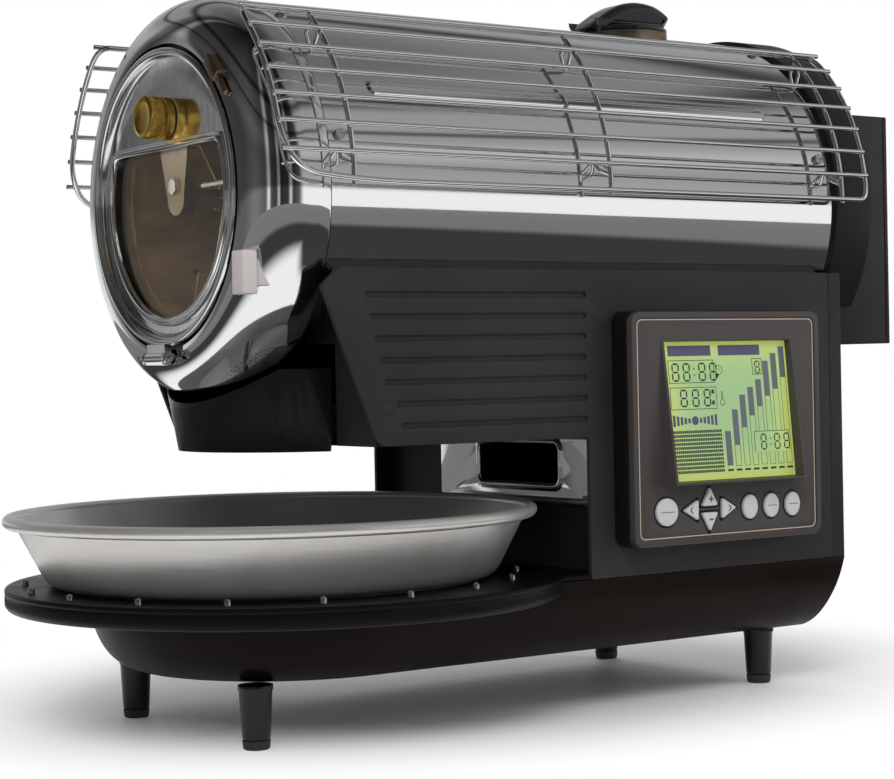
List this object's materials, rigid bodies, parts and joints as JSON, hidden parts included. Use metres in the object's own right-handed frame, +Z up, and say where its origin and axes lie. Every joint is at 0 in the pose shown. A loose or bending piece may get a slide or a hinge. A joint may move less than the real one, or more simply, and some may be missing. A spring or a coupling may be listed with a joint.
{
  "type": "drum coffee roaster",
  "caption": "Countertop drum roaster: chrome drum housing with a windowed front door, round cooling tray on a low deck, wire guards and a control panel with display and keys.",
  "frame": {"origin": "on the table, under the middle of the bounding box", "axes": "+X along the drum axis to the rear, -Y to the control panel side, +Z up"},
  "size_m": [0.486, 0.267, 0.3618],
  "materials": {
    "base_black": "satin",
    "stud_white": "satin",
    "foot_black": "gloss",
    "rubber": "matte",
    "chassis_steel": "satin",
    "body_black": "fine satin",
    "inlet_black": "matte",
    "chrome": "mirror",
    "panel_black": "gloss",
    "bezel_brown": "satin",
    "lcd_green": "lit display",
    "board_green": "matte",
    "steel_bright": "bright",
    "chamber_steel": "dull",
    "element_dark": "dull",
    "ceramic": "satin",
    "clip_brown": "heat tinted",
    "motor_grey": "satin",
    "filter_pale": "matte",
    "smoked_glass": "clear tinted",
    "brass": "polished",
    "drum_steel": "heat tinted",
    "fan_black": "matte",
    "gloss_black": "gloss",
    "button_grey": "satin"
  },
  "bodies": {
    "frame": {"base_pan": "base_black", "base_deck": "base_black", "deck_studs": "stud_white", "foot_stems": "foot_black", "foot_pads": "rubber", "chassis": "chassis_steel", "front_fascia": "body_black", "side_skin_near": "body_black", "side_skin_far": "body_black", "rear_panel": "body_black", "power_inlet": "inlet_black", "column_plate": "chrome", "control_box": "panel_black", "bezel": "bezel_brown", "lcd_module": "lcd_green", "control_board": "board_green", "drum_shroud": "chrome", "body_screws": "steel_bright", "front_hood": "chrome", "drum_chamber": "chamber_steel", "chamber_bulkhead": "chamber_steel", "heating_element": "element_dark", "front_bearing_bracket": "steel_bright", "temperature_probe": "steel_bright", "latch_block": "ceramic", "door_clip": "clip_brown", "hinge_bracket": "steel_bright", "bean_chute": "chamber_steel", "drive_motor": "motor_grey", "rear_cap": "base_black", "filter_box": "body_black", "rear_filter": "filter_pale", "guard_near": "chrome", "guard_far": "chrome", "stir_motor": "motor_grey"},
    "door": {"front_door": "chrome", "window_bead": "chrome", "window_glass": "smoked_glass"},
    "knob": {"door_knob": "brass"},
    "drum_set": {"drum": "drum_steel", "drum_vanes": "drum_steel", "drum_shaft": "steel_bright", "drum_gear": "brass"},
    "pinion": {"motor_pinion": "brass"},
    "tray": {"cooling_tray": "steel_bright"},
    "stirrer": {"stir_arm": "steel_bright"},
    "spindle": {"stir_spindle": "steel_bright"},
    "fan_cool": {"cooling_fan": "fan_black"},
    "fan_exhaust": {"exhaust_fan": "fan_black"},
    "chaff": {"chaff_tray": "base_black"},
    "cover_chute": {"chute_cover": "gloss_black"},
    "cover_filter": {"filter_cover": "body_black"},
    "button_power": {"btn_power": "button_grey"},
    "button_left": {"btn_left": "button_grey"},
    "button_up": {"btn_up": "button_grey"},
    "button_down": {"btn_down": "button_grey"},
    "button_right": {"btn_right": "button_grey"},
    "button_enter": {"btn_enter": "button_grey"},
    "button_back": {"btn_back": "button_grey"},
    "button_set": {"btn_set": "button_grey"}
  },
  "joints": [
    {"name": "door_hinge", "type": "hinge", "parent": "frame", "child": "door", "pos_m": [-0.1754, 0, 0.1748], "axis": [0, -1, 0], "range_deg": [0, 85]},
    {"name": "knob_turn", "type": "hinge", "parent": "door", "child": "knob", "pos_m": [-0.174, 0, 0.2864], "axis": [1, 0, 0], "continuous": true},
    {"name": "drum_spin", "type": "hinge", "parent": "frame", "child": "drum_set", "pos_m": [0, 0, 0.2495], "axis": [1, 0, 0], "continuous": true},
    {"name": "pinion_spin", "type": "hinge", "parent": "frame", "child": "pinion", "pos_m": [0.1, 0.02995, 0.20337], "axis": [1, 0, 0], "continuous": true},
    {"name": "tray_lift", "type": "slide", "parent": "frame", "child": "tray", "axis": [0, 0, 1], "range_m": [0, 0.015]},
    {"name": "stirrer_spin", "type": "hinge", "parent": "tray", "child": "stirrer", "pos_m": [-0.116, 0, 0.08], "axis": [0, 0, 1], "continuous": true},
    {"name": "spindle_spin", "type": "hinge", "parent": "frame", "child": "spindle", "pos_m": [-0.116, 0, 0.06], "axis": [0, 0, 1], "continuous": true},
    {"name": "cooling_fan_spin", "type": "hinge", "parent": "frame", "child": "fan_cool", "pos_m": [0.075, 0, 0.045], "axis": [0, 0, 1], "continuous": true},
    {"name": "exhaust_fan_spin", "type": "hinge", "parent": "frame", "child": "fan_exhaust", "pos_m": [0.205, 0, 0.2495], "axis": [1, 0, 0], "continuous": true},
    {"name": "chaff_slide", "type": "slide", "parent": "frame", "child": "chaff", "axis": [-1, 0, 0], "range_m": [0, 0.15]},
    {"name": "chute_cover_lift", "type": "slide", "parent": "frame", "child": "cover_chute", "axis": [0, 0, 1], "range_m": [0, 0.03]},
    {"name": "filter_cover_lift", "type": "slide", "parent": "frame", "child": "cover_filter", "axis": [0, 0, 1], "range_m": [0, 0.04]},
    {"name": "power_press", "type": "slide", "parent": "frame", "child": "button_power", "axis": [0, 1, 0], "range_m": [0, 0.0012], "stiffness_N_per_m": 400, "springref_m": -0.001},
    {"name": "left_press", "type": "slide", "parent": "frame", "child": "button_left", "axis": [0, 1, 0], "range_m": [0, 0.0012], "stiffness_N_per_m": 400, "springref_m": -0.001},
    {"name": "up_press", "type": "slide", "parent": "frame", "child": "button_up", "axis": [0, 1, 0], "range_m": [0, 0.0012], "stiffness_N_per_m": 400, "springref_m": -0.001},
    {"name": "down_press", "type": "slide", "parent": "frame", "child": "button_down", "axis": [0, 1, 0], "range_m": [0, 0.0012], "stiffness_N_per_m": 400, "springref_m": -0.001},
    {"name": "right_press", "type": "slide", "parent": "frame", "child": "button_right", "axis": [0, 1, 0], "range_m": [0, 0.0012], "stiffness_N_per_m": 400, "springref_m": -0.001},
    {"name": "enter_press", "type": "slide", "parent": "frame", "child": "button_enter", "axis": [0, 1, 0], "range_m": [0, 0.0012], "stiffness_N_per_m": 400, "springref_m": -0.001},
    {"name": "back_press", "type": "slide", "parent": "frame", "child": "button_back", "axis": [0, 1, 0], "range_m": [0, 0.0012], "stiffness_N_per_m": 400, "springref_m": -0.001},
    {"name": "set_press", "type": "slide", "parent": "frame", "child": "button_set", "axis": [0, 1, 0], "range_m": [0, 0.0012], "stiffness_N_per_m": 400, "springref_m": -0.001}
  ],
  "couplings": [
    {"joint": "pinion_spin", "follows": "drum_spin", "ratio": -2.6667},
    {"joint": "stirrer_spin", "follows": "spindle_spin", "ratio": 1}
  ]
}
